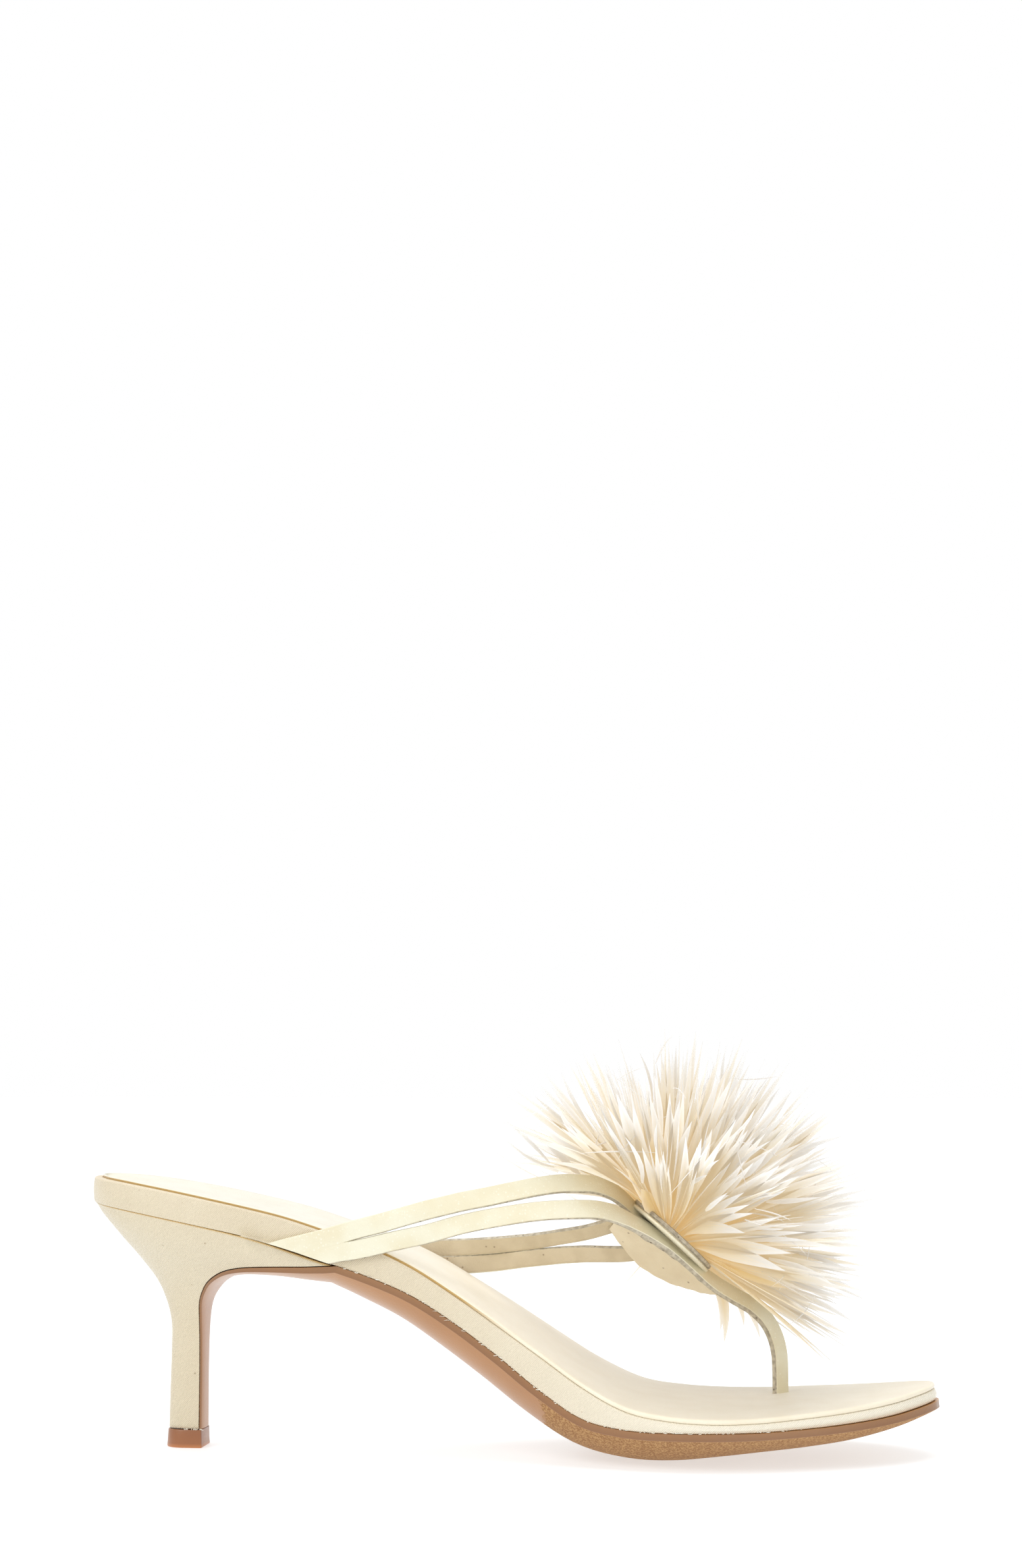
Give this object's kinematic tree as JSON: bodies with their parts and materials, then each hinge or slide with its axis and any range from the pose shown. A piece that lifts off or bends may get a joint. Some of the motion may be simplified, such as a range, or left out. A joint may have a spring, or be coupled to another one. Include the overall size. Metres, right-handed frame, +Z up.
{
  "type": "feather sandal",
  "caption": "Heeled thong sandal with slim double straps, a slender set-under heel and a feather pompom on a leather disc over the toes.",
  "frame": {"origin": "on the floor, on the face of the top lift, under the stem of the heel", "axes": "+X from the heel to the toe, +Y towards the big toe's side, +Z up"},
  "size_m": [0.241, 0.1082, 0.1175],
  "materials": {
    "cream_satin": "woven satin twill",
    "strap_leather": "pearlised fine grain",
    "sock_leather": "soft matt",
    "brown_leather": "polished",
    "lift_rubber": "satin moulded",
    "feather": "soft barbs"
  },
  "bodies": {
    "root": {"top_lift": "lift_rubber", "heel": "cream_satin", "outsole": "brown_leather", "footbed": "cream_satin", "insole_sock": "sock_leather", "upper": "strap_leather", "pompom_backing": "strap_leather", "feather_pompom": "feather"}
  },
  "joints": []
}
